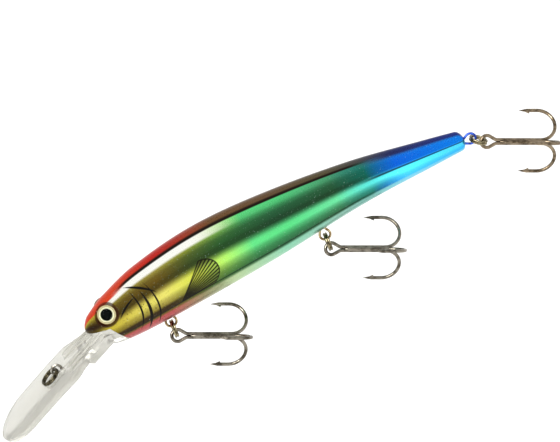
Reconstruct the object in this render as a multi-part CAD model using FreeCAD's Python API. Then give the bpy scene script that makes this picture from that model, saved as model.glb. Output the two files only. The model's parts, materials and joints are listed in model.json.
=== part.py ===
import FreeCAD, Part
import math
import os

# A deep-diving crankbait lure, in millimetres.
# The model is drawn along the body axis: X runs from the nose to the tail, Z up
# to the back, and Y = 0 is the parting plane of the two moulded body halves.
# The lure's left side is -Y. Every solid is moved on export, so that the origin
# is the centre of the line tie eye.

os.makedirs("parts", exist_ok=True)
V = FreeCAD.Vector

# ---------------------------------------------------------------- body shell
body_length = 116.8
back_height = 12.3
belly_depth = 9.45
body_width = 13.3
nose_round = 2.2
tail_round = 1.7
shell_wall = 1.2
rib_wall = 0.9
# Lines of the body: place along it, then back, belly and side, each as a share
# of body_length, back_height, belly_depth and half of body_width.
BODY_LINES = [
    (0.000, 0.035, 0.420, 0.285),
    (0.043, 0.285, 0.878, 0.692),
    (0.069, 0.411, 0.984, 0.805),
    (0.163, 0.728, 1.000, 0.947),
    (0.325, 0.980, 0.894, 1.000),
    (0.497, 0.967, 0.730, 0.932),
    (0.728, 0.736, 0.418, 0.692),
    (0.916, 0.390, 0.333, 0.436),
    (1.000, 0.222, 0.296, 0.330),
]
body_sections = 14
round_sections = 4

# ---------------------------------------------------------------- diving lip
lip_length = 42.0
lip_width = 20.4
lip_root_thickness = 2.2
lip_tip_thickness = 1.6
lip_angle = 24.0
lip_arch_radius = 385.0
lip_root_x = 4.5
lip_root_z = -2.7
lip_tip_round = 9.0
lip_shoulder_x = -8.0
lip_neck_x = 0.0
lip_neck_width = 11.8
lip_root_width = 8.0
chin_top_z = -2.3
chin_flat_end_x = 6.5
chin_rear_x = 10.4
chin_rear_z = -8.8
web_rear_x = 6.0
web_rear_depth = 6.2
web_front_x = -1.5
web_depth = 9.5
web_ramp = 3.2
web_width = 11.0
lip_rib_width = 1.0
lip_rib_height = 0.7
lip_rib_end_x = -8.2
tongue_thickness = 2.4
tongue_end_x = 16.6
tongue_top_z = 0.6
tongue_low_z = -5.2
tongue_hole_x = (9.6, 14.4)
tongue_hole_z = -1.6

# ---------------------------------------------------------------- wire eyes
hanger_wire = 0.7
hanger_eye_radius = 1.15
hanger_anchor_rise = 6.0
neck_angle = 60.0
neck_radius = 1.2
front_hanger_x = 22.3
front_hanger_drop = 1.25
rear_hanger_x = 70.9
rear_hanger_drop = 2.0
tail_hanger_reach = 1.6
tail_hanger_z = -0.7
tie_x = -11.6
tie_wire = 0.75
tie_eye_radius = 1.05
tie_leg_length = 10.0
tie_foot_width = 4.0

# ---------------------------------------------------------------- split rings
ring_wire = 0.65
hook_ring_outer = 5.3
tie_ring_outer = 6.0
ring_coil_pitch = 0.6
belly_link_lean = 4.0
tail_link_drop = 39.0
ring_lift = 0.15

# ---------------------------------------------------------------- treble hooks
hook_wire = 1.0
hook_eye_radius = 1.15
hook_shank_end = 15.1
hook_bend_radius = 4.55
hook_prong_length = 5.3
hook_point_length = 2.4
hook_point_tip = 0.06
hook_barb_back = 3.9
hook_barb_length = 1.1
hook_barb_rise = 0.38
hook_barb_width = 0.3
hook_single_start = 3.6
shank_pinch = 0.04
hook_rest_drop = 28.2
hook_rest_roll = 17.7
hook_eye_slack = 0.2

# ---------------------------------------------------------------- inside
ballast_front_x = 30.4
ballast_front_z = -3.6
ballast_front_radius = 2.7
ballast_mid_x = 63.6
ballast_mid_z = -2.0
ballast_mid_radius = 2.0
ballast_side_gap = 0.25
rattle_radius = 2.5
rattle_rear_radius = 1.9
race_floor_z = -4.4
race_rear_floor_z = -1.5
race_start_x = 36.4
race_cell_length = 11.4
race_rear_start_x = 77.0
race_rear_length = 12.6
rattle_floor_gap = 0.3
rattle_roof_gap = 0.5
pin_radius = 0.9
pin_reach = 1.6
socket_wall = 0.8
PIN_PLACES = [(33.0, 8.0), (56.0, 8.4), (93.5, 3.2), (103.5, 1.6)]

# ---------------------------------------------------------------- eyes
eye_x = 7.2
eye_z = 1.65
eye_look_up = 20.0
eye_look_forward = 12.0
eye_radius = 2.7
eye_groove = 0.6
eye_seat_depth = 0.85
eye_foil_thickness = 0.3
eye_dome_height = 0.95
eye_boss_wall = 1.3

# ---------------------------------------------------------------- clearances
seat_gap = 0.04
pin_gap = 0.05
groove_gap = 0.04


# ---------------------------------------------------------------- helpers
def smooth_share(along, column):
    """Value of one body line at a share of the length, by a smooth cubic."""
    last = len(BODY_LINES) - 1
    i = 0
    while i < last - 1 and along > BODY_LINES[i + 1][0]:
        i += 1
    x0 = BODY_LINES[i][0]
    x1 = BODY_LINES[i + 1][0]
    v0 = BODY_LINES[i][column]
    v1 = BODY_LINES[i + 1][column]
    before = BODY_LINES[max(i - 1, 0)]
    after = BODY_LINES[min(i + 2, last)]
    slope0 = (v1 - before[column]) / (x1 - before[0])
    slope1 = (after[column] - v0) / (after[0] - x0)
    span = x1 - x0
    t = (along - x0) / span
    return ((2 * t**3 - 3 * t**2 + 1) * v0 + (t**3 - 2 * t**2 + t) * span * slope0
            + (3 * t**2 - 2 * t**3) * v1 + (t**3 - t**2) * span * slope1)


def body_section(x):
    """Middle height, half height and half width of the body at x."""
    along = x / body_length
    back = smooth_share(along, 1) * back_height
    belly = -smooth_share(along, 2) * belly_depth
    side = smooth_share(along, 3) * body_width / 2
    shrink = 1.0
    if x < nose_round:
        shrink = math.sqrt(1 - (1 - x / nose_round)**2 * 0.82)
    if x > body_length - tail_round:
        out = (x - body_length + tail_round) / tail_round
        shrink = math.sqrt(1 - out**2 * 0.82)
    return (back + belly) / 2, (back - belly) / 2 * shrink, side * shrink


def section_outline(x, inset):
    """Closed oval wire of the body at x, drawn inset from its skin."""
    middle, half_height, half_width = body_section(x)
    centre = V(x, 0, middle)
    top = V(x, 0, middle + half_height - inset)
    side = V(x, half_width - inset, middle)
    return Part.Wire(Part.Ellipse(top, side, centre).toShape())


def body_form(inset):
    """Solid of the whole body, or of its hollow when inset by the wall."""
    start = inset * 1.8
    end = body_length - inset * 1.8
    places = []
    for i in range(round_sections):
        places.append(start + nose_round * (1 - math.cos(math.pi / 2 * i / round_sections)))
    inner_start = start + nose_round
    inner_end = end - tail_round
    for i in range(body_sections + 1):
        places.append(inner_start + (inner_end - inner_start) * i / body_sections)
    for i in range(1, round_sections + 1):
        places.append(inner_end + tail_round * math.sin(math.pi / 2 * i / round_sections))
    wires = [section_outline(x, inset) for x in places]
    return Part.makeLoft(wires, True, False)


def belly_z(x):
    middle, half_height, half_width = body_section(x)
    return middle - half_height


def side_y(x, z):
    """Half width of the skin at x and height z."""
    middle, half_height, half_width = body_section(x)
    rise = min(abs(z - middle) / half_height, 1.0)
    return half_width * math.sqrt(1 - rise**2)


def block(x0, x1, y0, y1, z0, z1):
    return Part.makeBox(x1 - x0, y1 - y0, z1 - z0, V(x0, y0, z0))


def side_prism(points, half_width):
    """Prism across Y of a polygon given as (x, z) pairs."""
    corners = [V(x, -half_width, z) for x, z in points]
    face = Part.Face(Part.makePolygon(corners + [corners[0]]))
    return face.extrude(V(0, 2 * half_width, 0))


def cross_rod(x, z, radius, y0, y1):
    return Part.makeCylinder(radius, y1 - y0, V(x, y0, z), V(0, 1, 0))


def swept_wire(edges, radius):
    """Round wire along a chain of edges that meet smoothly."""
    first = edges[0]
    at = first.valueAt(first.FirstParameter)
    along = first.tangentAt(first.FirstParameter)
    ring = Part.Wire(Part.makeCircle(radius, at, along))
    return Part.Wire(edges).makePipeShell([ring], True, False)


def line(p, q):
    return Part.LineSegment(p, q).toShape()


def arc(p, through, q):
    return Part.Arc(p, through, q).toShape()


def export(name, shape):
    """Write one sub-part, with the line tie eye at the origin."""
    placed = shape.copy()
    placed.translate(V(0, 0, 0) - TIE_EYE)
    solids = placed.Solids
    out = solids[0] if len(solids) == 1 else Part.makeCompound(solids)
    out.exportStep(os.path.join("parts", name + ".step"))
    box = out.BoundBox
    print(name, len(solids), "solids", round(out.Volume, 2), "mm3",
          [round(v, 2) for v in (box.XMin, box.XMax, box.YMin, box.YMax, box.ZMin, box.ZMax)])


# ---------------------------------------------------------------- derived places
def lip_arc_point(share, offset):
    """Point of the arched lip in the XZ plane, offset below its top face."""
    sweep = lip_length / lip_arch_radius
    start = math.radians(lip_angle) - sweep / 2
    turn = start + sweep * share
    reach = lip_arch_radius - offset
    # Measured from the arc's centre, the lip runs from its root towards -X.
    x = lip_root_x + lip_arch_radius * math.sin(start) - reach * math.sin(turn)
    z = lip_root_z - lip_arch_radius * math.cos(start) + reach * math.cos(turn)
    return V(x, 0, z)


def lip_share_at(x):
    """Share of the lip's length where its top face reaches x."""
    low = -0.5
    high = 1.0
    for step in range(60):
        middle = (low + high) / 2
        if lip_arc_point(middle, 0).x > x:
            low = middle
        else:
            high = middle
    return (low + high) / 2


tie_share = lip_share_at(tie_x)
tie_ring_radius = (tie_ring_outer - ring_wire) / 2
ring_thickness = ring_coil_pitch + ring_wire
tie_eye_rise = ring_thickness / 2 + ring_lift
TIE_EYE = lip_arc_point(tie_share, -tie_eye_rise)
lip_slope = math.radians(lip_angle) + (tie_share - 0.5) * lip_length / lip_arch_radius
LIP_FORWARD = V(-math.cos(lip_slope), 0, -math.sin(lip_slope))
LIP_UP = V(-math.sin(lip_slope), 0, math.cos(lip_slope))

hanger_mean = hanger_eye_radius + hanger_wire / 2
FRONT_EYE = V(front_hanger_x, 0, belly_z(front_hanger_x) - front_hanger_drop)
REAR_EYE = V(rear_hanger_x, 0, belly_z(rear_hanger_x) - rear_hanger_drop)
TAIL_EYE = V(body_length + tail_hanger_reach, 0, tail_hanger_z)
lean = math.radians(belly_link_lean)
drop = math.radians(tail_link_drop)
BELLY_LINK = V(-math.sin(lean), 0, -math.cos(lean))
TAIL_LINK = V(math.cos(drop), 0, -math.sin(drop))
hook_ring_radius = (hook_ring_outer - ring_wire) / 2
FRONT_PIVOT = FRONT_EYE + BELLY_LINK * (2 * hook_ring_radius)
REAR_PIVOT = REAR_EYE + BELLY_LINK * (2 * hook_ring_radius)
TAIL_PIVOT = TAIL_EYE + TAIL_LINK * (2 * hook_ring_radius)


# ---------------------------------------------------------------- wire parts
def loop_edges(radius, half_gap):
    """Half of a bent eye at the origin, its neck, and where its leg turns straight."""
    turn = math.radians(neck_angle)
    fall = math.pi / 2 - turn
    top = (math.pi + turn) / 2
    far = V(-radius, 0, 0)
    crest = V(radius * math.cos(top), 0, radius * math.sin(top))
    leave = V(radius * math.cos(turn), 0, radius * math.sin(turn))
    bend = neck_radius * radius
    run = (leave.z - half_gap - bend * (1 - math.cos(fall))) / math.cos(turn)
    neck = leave + V(math.sin(turn), 0, -math.cos(turn)) * run
    straight = V(neck.x + bend * math.sin(fall), 0, half_gap)
    middle = V(straight.x - bend * math.sin(fall / 2), 0,
               half_gap + bend * (1 - math.cos(fall / 2)))
    return [arc(far, crest, leave), line(leave, neck), arc(neck, middle, straight)], straight


def double_eye(length, radius, half_gap, wire_radius):
    """Wire closed into an eye at each end, its two legs side by side along X."""
    first, straight = loop_edges(radius, half_gap)
    inner = V(length - straight.x, 0, half_gap)
    second, other = loop_edges(radius, half_gap)
    flip = FreeCAD.Matrix()
    flip.A11 = -1
    flip.A14 = length
    back = [edge.transformGeometry(flip) for edge in reversed(second)]
    half = swept_wire(first + [line(straight, inner)] + back, wire_radius)
    return half.fuse(half.mirror(V(0, 0, 0), V(0, 0, 1)))


def hanger(eye, direction, wire_radius):
    """Hook hanger: one eye outside, the other anchored between the body halves."""
    half_gap = hanger_wire / 2 + groove_gap
    shape = double_eye(hanger_anchor_rise, hanger_mean, half_gap, wire_radius)
    turn = math.degrees(math.atan2(-direction.z, direction.x))
    shape.rotate(V(0, 0, 0), V(0, 1, 0), turn)
    shape.translate(eye)
    return shape


def belly_hanger(eye, wire_radius):
    return hanger(eye, V(0, 0, 1), wire_radius)


def tail_hanger(wire_radius):
    return hanger(TAIL_EYE, V(-1, 0, 0), wire_radius)


def line_tie_wire(wire_radius):
    """Eye on the lip's top face, with a leg and a cross foot moulded into the lip."""
    mean = tie_eye_radius + tie_wire / 2
    eye = Part.makeTorus(mean, wire_radius, TIE_EYE, V(0, 1, 0))
    depth = tie_eye_rise + lip_root_thickness / 2
    start = TIE_EYE - LIP_UP * depth - LIP_FORWARD * (mean * 0.55)
    back = V(0, 0, 0) - LIP_FORWARD
    leg = Part.makeCylinder(wire_radius, tie_leg_length, start, back)
    foot_at = start + back * tie_leg_length - V(0, tie_foot_width / 2, 0)
    foot = Part.makeCylinder(wire_radius, tie_foot_width, foot_at, V(0, 1, 0))
    return eye.fuse(leg).fuse(foot)


def split_ring(centre, normal, mean_radius):
    """Split ring: two turns of wire, one on the other."""
    shape = None
    for way in (-0.5, 0.5):
        at = centre + normal * (way * ring_coil_pitch)
        turn = Part.makeTorus(mean_radius, ring_wire / 2, at, normal)
        shape = turn if shape is None else shape.fuse(turn)
    return shape


# ---------------------------------------------------------------- treble hooks
def prong_edges(start, way):
    """Shank end, round bend and straight prong, towards the unit vector way."""
    along = V(1, 0, 0)
    over = start + way * (2 * hook_bend_radius)
    crown = start + way * hook_bend_radius + along * hook_bend_radius
    tip = over - along * (hook_prong_length - hook_point_length)
    return [arc(start, crown, over), line(over, tip)], tip


def prong_point(tip, way):
    """Ground point beyond the prong, and the barb cut up from its inner side."""
    back = V(-1, 0, 0)
    cone = Part.makeCone(hook_wire / 2, hook_point_tip, hook_point_length, tip, back)
    root = tip + back * (hook_point_length - hook_barb_back) - way * (hook_wire * 0.3)
    across = V(1, 0, 0).cross(way) * (hook_barb_width / 2)
    heel = root - back * hook_barb_length
    peak = heel - way * (hook_barb_rise + hook_wire * 0.2)
    low = [root - across, heel - across, peak - across]
    face = Part.Face(Part.makePolygon(low + [low[0]]))
    return cone.fuse(face.extrude(across * 2))


def treble_double():
    """Two prongs and the eye, bent from one wire; its eye lies in the XZ plane."""
    half_gap = hook_wire / 2 - shank_pinch / 2
    loop, straight = loop_edges(hook_eye_radius + hook_wire / 2, half_gap)
    shank_end = V(hook_shank_end, 0, half_gap)
    way = V(0, 0.5, math.sqrt(0.75))
    bend, tip = prong_edges(shank_end, way)
    edges = loop + [line(straight, shank_end)] + bend
    half = swept_wire(edges, hook_wire / 2).fuse(prong_point(tip, way))
    return half.fuse(half.mirror(V(0, 0, 0), V(0, 0, 1)))


def treble_single():
    """Third prong, brazed into the groove between the two shanks."""
    spacing = hook_wire - shank_pinch
    groove = math.sqrt(spacing**2 - (spacing / 2)**2)
    start = V(hook_single_start, -groove, 0)
    shank_end = V(hook_shank_end, -groove, 0)
    way = V(0, -1, 0)
    bend, tip = prong_edges(shank_end, way)
    wire = swept_wire([line(start, shank_end)] + bend, hook_wire / 2)
    return wire.fuse(prong_point(tip, way))


def hang_treble(shape, pivot):
    """Turn a treble to where it lies at rest, with its eye on the ring's wire."""
    placed = shape.copy()
    placed.translate(V(hook_eye_slack, 0, 0))
    placed.rotate(V(0, 0, 0), V(1, 0, 0), -hook_rest_roll)
    placed.rotate(V(0, 0, 0), V(0, 1, 0), hook_rest_drop)
    placed.translate(pivot)
    return placed


# ---------------------------------------------------------------- lip
def chin_outline(grow):
    """Side view of the space the lip's chin fills, grown into the head."""
    rake = math.atan2(chin_top_z - chin_rear_z, chin_rear_x - chin_flat_end_x)
    low = -3 * belly_depth
    run = (chin_top_z - low) / math.tan(rake)
    shift = grow / math.sin(rake)
    top = chin_top_z + grow
    top_x = chin_flat_end_x + shift - grow / math.tan(rake)
    return [(-body_length / 2, top), (top_x, top), (chin_flat_end_x + run + shift, low),
            (-body_length / 2, low)]


def lip_plan():
    """Plan of the lip seen from above: round tip, full blade, narrow neck."""
    half = lip_width / 2
    tip = lip_arc_point(1.0, lip_tip_thickness / 2).x
    turn_x = tip + lip_tip_round
    root_x = chin_rear_x
    end = Part.Ellipse(V(turn_x, half, 0), V(tip, 0, 0), V(turn_x, 0, 0))
    neck = lip_neck_width / 2
    root = lip_root_width / 2
    edges = [end.toShape(0, math.pi)]
    for way in (-1, 1):
        shoulder = V(lip_shoulder_x, way * half, 0)
        swell = V((lip_shoulder_x + lip_neck_x) / 2, way * (half * 0.56 + neck * 0.44), 0)
        at_neck = V(lip_neck_x, way * neck, 0)
        at_root = V(lip_root_x, way * root, 0)
        side = Part.BSplineCurve()
        side.interpolate(Points=[shoulder, swell, at_neck, at_root],
                         InitialTangent=V(1, 0, 0), FinalTangent=V(1, 0, 0))
        chain = [line(V(turn_x, way * half, 0), shoulder), side.toShape(),
                 line(at_root, V(root_x, way * root, 0))]
        edges += chain
    edges.append(line(V(root_x, -root, 0), V(root_x, root, 0)))
    wire = Part.Wire(Part.__sortEdges__(edges))
    prism = Part.Face(wire).extrude(V(0, 0, 3 * belly_depth + lip_length))
    prism.translate(V(0, 0, -2 * belly_depth - lip_length / 2))
    return prism


def lip_blade():
    """Arched blade, thinner to its tip."""
    top = [lip_arc_point(s, 0) for s in (0.0, 0.5, 1.0)]
    low = [lip_arc_point(0.0, lip_root_thickness),
           lip_arc_point(0.5, (lip_root_thickness + lip_tip_thickness) / 2),
           lip_arc_point(1.0, lip_tip_thickness)]
    edges = [arc(top[0], top[1], top[2]), line(top[2], low[2]),
             arc(low[2], low[1], low[0]), line(low[0], top[0])]
    face = Part.Face(Part.Wire(edges))
    face.translate(V(0, -lip_width, 0))
    return face.extrude(V(0, 2 * lip_width, 0))


def lip_web():
    """Thick root under the blade, from inside the chin to a short ramp."""
    ramp_x = web_front_x - web_ramp
    ramp_end = lip_arc_point(lip_share_at(ramp_x), lip_root_thickness / 2)
    outline = [(web_rear_x, -web_rear_depth), (web_front_x, -web_depth), (ramp_x, ramp_end.z),
               (lip_root_x, lip_root_z - lip_root_thickness / 2),
               (web_rear_x, lip_root_z - lip_root_thickness / 2)]
    return side_prism(outline, web_width / 2)


def lip_rib(y_root, y_end):
    """Raised rib along the blade's top face, from the nose to the line tie."""
    points = []
    count = 4
    start = lip_share_at(lip_root_x)
    end = lip_share_at(lip_rib_end_x)
    for i in range(count + 1):
        points.append(lip_arc_point(start + (end - start) * i / count, -lip_rib_height))
    low = lip_arc_point(end, lip_root_thickness / 2)
    low_root = lip_arc_point(start, lip_root_thickness / 2)
    outline = [(p.x, p.z) for p in points] + [(low.x, low.z), (low_root.x, low_root.z)]
    outline[count] = (outline[count][0] + lip_rib_height, outline[count][1])
    slab = side_prism(outline, lip_width / 2)
    half = lip_rib_width / 2
    corners = [V(lip_root_x + half, y_root - half, 0), V(lip_root_x + half, y_root + half, 0),
               V(lip_rib_end_x - half, y_end + half, 0), V(lip_rib_end_x - half, y_end - half, 0)]
    track = Part.Face(Part.makePolygon(corners + [corners[0]]))
    track = track.extrude(V(0, 0, 3 * belly_depth))
    track.translate(V(0, 0, -2 * belly_depth))
    return slab.common(track)


def tongue(grow):
    """Flat tongue of the lip that is trapped between the body halves."""
    half = tongue_thickness / 2 + grow
    rake_x = chin_flat_end_x - 1.0
    points = [(rake_x, tongue_low_z - grow), (rake_x, chin_top_z - 0.2),
              (chin_flat_end_x, tongue_top_z + grow),
              (tongue_end_x + grow, tongue_top_z + grow),
              (tongue_end_x + grow, tongue_low_z - grow)]
    return side_prism(points, half)


def diving_lip():
    """Blade, ribs, chin and tongue in one clear moulding."""
    skin = body_form(0.0)
    chin = skin.common(side_prism(chin_outline(-seat_gap), body_width))
    blade = lip_blade().fuse(lip_web())
    for y_root, y_end in ((1.5, 3.0), (3.4, 6.2)):
        for way in (-1, 1):
            blade = blade.fuse(lip_rib(way * y_root, way * y_end))
    blade = blade.common(lip_plan())
    blade = blade.common(side_prism(chin_outline(-seat_gap), body_width))
    shape = chin.fuse(blade).fuse(tongue(0.0))
    for x in tongue_hole_x:
        hole = cross_rod(x, tongue_hole_z, pin_radius + pin_gap, -tongue_thickness, tongue_thickness)
        shape = shape.cut(hole)
    shape = shape.cut(line_tie_wire(tie_wire / 2))
    ring_room = Part.makeCylinder(tie_eye_radius * 0.98, tie_eye_radius * 4,
                                  TIE_EYE - V(0, tie_eye_radius * 2, 0), V(0, 1, 0))
    return shape.cut(ring_room).removeSplitter()


# ---------------------------------------------------------------- eyes
def eye_frame(way):
    """Centre of an eye on the skin and the direction it looks, for a side."""
    up = math.radians(eye_look_up)
    forward = math.radians(eye_look_forward)
    look = V(-math.sin(forward) * math.cos(up), way * math.cos(forward) * math.cos(up),
             math.sin(up))
    centre = V(eye_x, way * side_y(eye_x, eye_z), eye_z)
    return centre, look


def eye_seat(way):
    """Round recess that the eye is glued into."""
    centre, look = eye_frame(way)
    radius = eye_radius + eye_groove
    return Part.makeCylinder(radius, 2 * radius, centre - look * eye_seat_depth, look)


def eye_boss(way):
    """Solid backing behind the recess, inside the shell."""
    centre, look = eye_frame(way)
    radius = eye_radius + eye_groove + shell_wall * 0.6
    length = eye_seat_depth + eye_boss_wall
    return Part.makeCylinder(radius, length + radius, centre - look * length, look)


def eye_foil(way):
    centre, look = eye_frame(way)
    return Part.makeCylinder(eye_radius, eye_foil_thickness,
                             centre - look * eye_seat_depth, look)


def eye_dome(way):
    """Clear lens over the foil, a cap of a sphere on a short rim."""
    centre, look = eye_frame(way)
    base = centre - look * (eye_seat_depth - eye_foil_thickness)
    sphere_radius = (eye_radius**2 + eye_dome_height**2) / (2 * eye_dome_height)
    sphere = Part.makeSphere(sphere_radius, base + look * (eye_dome_height - sphere_radius))
    keep = Part.makeCylinder(eye_radius * 1.01, eye_dome_height * 1.5, base, look)
    return sphere.common(keep)


# ---------------------------------------------------------------- body halves
def race_walls():
    """Floors, roofs and end walls of the rattle cells, as plain blocks."""
    wide = body_width
    tall = back_height + belly_depth
    cells = [(race_start_x, race_cell_length, race_floor_z, rattle_radius),
             (race_start_x + race_cell_length + rib_wall, race_cell_length, race_floor_z,
              rattle_radius),
             (race_rear_start_x, race_rear_length, race_rear_floor_z, rattle_rear_radius)]
    walls = []
    for start, length, floor, ball in cells:
        end = start + length
        roof = floor + rattle_floor_gap + 2 * ball + rattle_roof_gap
        walls.append(block(start - rib_wall, start, -wide, wide, -tall, tall))
        walls.append(block(end, end + rib_wall, -wide, wide, -tall, tall))
        walls.append(block(start - rib_wall, end + rib_wall, -wide, wide, floor - rib_wall, floor))
        walls.append(block(start - rib_wall, end + rib_wall, -wide, wide, roof, roof + rib_wall))
    return walls


def body_half(way):
    """One moulded half: way is -1 for the left half and 1 for the right."""
    side = block(-body_length, 2 * body_length, 0, 2 * body_width, -2 * body_width, 2 * body_width)
    if way < 0:
        side.translate(V(0, -2 * body_width, 0))
    tail_block_x = body_length - hanger_anchor_rise - 2 * hanger_mean
    fill = race_walls()
    fill.append(side_prism(chin_outline(shell_wall), body_width))
    fill.append(block(tail_block_x, 2 * body_length, -body_width, body_width,
                      -body_width, body_width))
    for eye in (FRONT_EYE, REAR_EYE):
        half_run = hanger_mean + hanger_wire + rib_wall
        top = eye.z + hanger_anchor_rise + half_run
        fill.append(block(eye.x - half_run, eye.x + half_run, -body_width, body_width,
                          -2 * belly_depth, top))
    fill.append(eye_boss(way))
    for x, z, radius, half in ballast_places():
        fill.append(cross_rod(x, z, radius + seat_gap + rib_wall, -body_width, body_width))
    pins = [(x, tongue_hole_z) for x in tongue_hole_x] + list(PIN_PLACES)
    for x, z in pins:
        fill.append(cross_rod(x, z, pin_radius + pin_gap + socket_wall, -body_width, body_width))
    hollow = body_form(shell_wall).common(side).cut(fill)
    groove = hanger_wire / 2 + groove_gap
    cuts = [hollow, side_prism(chin_outline(0.0), 2 * body_width), tongue(seat_gap),
            belly_hanger(FRONT_EYE, groove), belly_hanger(REAR_EYE, groove),
            tail_hanger(groove), eye_seat(way)]
    for x, z, radius, half in ballast_places():
        cuts.append(cross_rod(x, z, radius + seat_gap, -half - seat_gap, half + seat_gap))
    studs = []
    for x, z in pins:
        reach = pin_reach
        if z == tongue_hole_z:
            reach = pin_reach + tongue_thickness / 2
        studs.append(cross_rod(x, z, pin_radius, -reach, reach))
        if way > 0:
            cuts.append(cross_rod(x, z, pin_radius + pin_gap, -reach, reach + socket_wall))
    shape = body_form(0.0).common(side).cut(cuts)
    if way < 0:
        shape = shape.fuse(studs)
    return shape


def ballast_places():
    """Place, radius and half length of each ballast slug."""
    out = []
    for x, z, radius in ((ballast_front_x, ballast_front_z, ballast_front_radius),
                         (ballast_mid_x, ballast_mid_z, ballast_mid_radius)):
        narrow = min(side_y(x - radius, z - radius), side_y(x + radius, z - radius))
        out.append((x, z, radius, narrow - shell_wall - ballast_side_gap))
    return out


def rattle_places():
    """Middle of each rattle cell, and its ball's radius."""
    first = race_start_x + race_cell_length / 2
    second = first + race_cell_length + rib_wall
    rear = race_rear_start_x + race_rear_length / 2
    z = race_floor_z + rattle_floor_gap + rattle_radius
    rear_z = race_rear_floor_z + rattle_floor_gap + rattle_rear_radius
    return [("rattle_ball_front", first, z, rattle_radius),
            ("rattle_ball_mid", second, z, rattle_radius),
            ("rattle_ball_rear", rear, rear_z, rattle_rear_radius)]


# ---------------------------------------------------------------- build
def build():
    export("body_left", body_half(-1))
    export("body_right", body_half(1))
    export("diving_lip", diving_lip())
    export("line_tie_wire", line_tie_wire(tie_wire / 2))
    export("front_hook_hanger", belly_hanger(FRONT_EYE, hanger_wire / 2))
    export("rear_hook_hanger", belly_hanger(REAR_EYE, hanger_wire / 2))
    export("tail_hook_hanger", tail_hanger(hanger_wire / 2))
    tie_centre = TIE_EYE + LIP_FORWARD * tie_ring_radius
    export("line_tie_ring", split_ring(tie_centre, LIP_UP, tie_ring_radius))
    double = treble_double()
    single = treble_single()
    for name, eye, link, pivot in (("front", FRONT_EYE, BELLY_LINK, FRONT_PIVOT),
                                   ("rear", REAR_EYE, BELLY_LINK, REAR_PIVOT),
                                   ("tail", TAIL_EYE, TAIL_LINK, TAIL_PIVOT)):
        normal = link.cross(V(0, 1, 0))
        centre = eye + link * hook_ring_radius
        export(name + "_split_ring", split_ring(centre, normal, hook_ring_radius))
        export(name + "_treble_double", hang_treble(double, pivot))
        export(name + "_treble_single", hang_treble(single, pivot))
    for name, place in zip(("ballast_front", "ballast_mid"), ballast_places()):
        x, z, radius, half = place
        export(name, cross_rod(x, z, radius, -half, half))
    for name, x, z, radius in rattle_places():
        export(name, Part.makeSphere(radius, V(x, 0, z)))
    for side, way in (("left", -1), ("right", 1)):
        export("eye_foil_" + side, eye_foil(way))
        export("eye_dome_" + side, eye_dome(way))


build()
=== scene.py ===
# %% [markdown]
# # A deep-diving crankbait lure
# The lure is a hollow plastic minnow with a long clear diving lip, three treble
# hooks on split rings and a line tie on the lip. The solid model already says
# where every part is and how it moves, so this lesson starts by loading it.

# %% Load the imported model
import bmesh
import bpy
import json
import math
from mathutils import Matrix, Quaternion, Vector

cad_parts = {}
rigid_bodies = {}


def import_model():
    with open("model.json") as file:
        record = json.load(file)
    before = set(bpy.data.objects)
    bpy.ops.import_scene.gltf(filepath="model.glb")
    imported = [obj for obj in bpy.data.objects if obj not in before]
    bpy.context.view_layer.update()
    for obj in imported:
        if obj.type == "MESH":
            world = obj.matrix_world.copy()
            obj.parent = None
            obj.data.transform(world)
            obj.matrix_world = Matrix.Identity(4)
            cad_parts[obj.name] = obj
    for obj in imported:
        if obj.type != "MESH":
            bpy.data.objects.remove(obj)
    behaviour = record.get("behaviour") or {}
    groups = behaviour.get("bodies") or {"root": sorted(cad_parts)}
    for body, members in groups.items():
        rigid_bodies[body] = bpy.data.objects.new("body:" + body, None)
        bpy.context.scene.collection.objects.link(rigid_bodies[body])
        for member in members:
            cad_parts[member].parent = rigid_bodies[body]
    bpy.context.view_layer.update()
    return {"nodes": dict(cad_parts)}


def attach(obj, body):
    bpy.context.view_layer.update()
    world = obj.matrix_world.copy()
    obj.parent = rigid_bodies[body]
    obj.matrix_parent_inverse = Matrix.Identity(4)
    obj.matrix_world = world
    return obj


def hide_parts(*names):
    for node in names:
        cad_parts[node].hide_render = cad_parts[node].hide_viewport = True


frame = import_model()
nodes = frame["nodes"]
print("solid parts:", len(nodes))

# %% [markdown]
# All sizes below are in millimetres along the body axis: X from the nose to the
# tail, Z to the back, and the parting plane of the two body halves at Y = 0.
# The model's origin is the line tie eye, so one helper turns such a place into
# the frame's metres.

# %% Units and places
MM = 0.001
TIE_EYE = Vector((-11.908562, 0, -8.549045))


def place(x, y, z):
    """Body millimetres to the frame's metres."""
    return (Vector((x, y, z)) - TIE_EYE) * MM


print("nose at", [round(v, 4) for v in place(0, 0, 0)])

# %% [markdown]
# ## Camera
# The camera looks at the lure's left side from a little above, through a long
# lens, and is rolled so that the tail rises to the right. It is made first, so
# that each piece can be judged as soon as it is there.

# %% Camera
VIEW_RISE = 24.0
VIEW_ROLL = 26.07
FRAME_WIDTH = 154.0
LENS = 500.0
SENSOR = 36.0
aim = Vector((0.0733, 0.0, 0.0107))

camera_data = bpy.data.cameras.new("camera")
camera_data.lens = LENS
camera_data.sensor_width = SENSOR
camera = bpy.data.objects.new("camera", camera_data)
bpy.context.scene.collection.objects.link(camera)
bpy.context.scene.camera = camera
rise = math.radians(VIEW_RISE)
towards_camera = Vector((0.0, -math.cos(rise), math.sin(rise)))
camera.location = aim + towards_camera * (FRAME_WIDTH * MM * LENS / SENSOR)
level = (-towards_camera).to_track_quat("-Z", "Y")
camera.rotation_mode = "QUATERNION"
camera.rotation_quaternion = level @ Quaternion((0, 0, 1), math.radians(-VIEW_ROLL))
camera_data.clip_end = 20.0
print("camera stands", round((camera.location - aim).length, 3), "m away")

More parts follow.
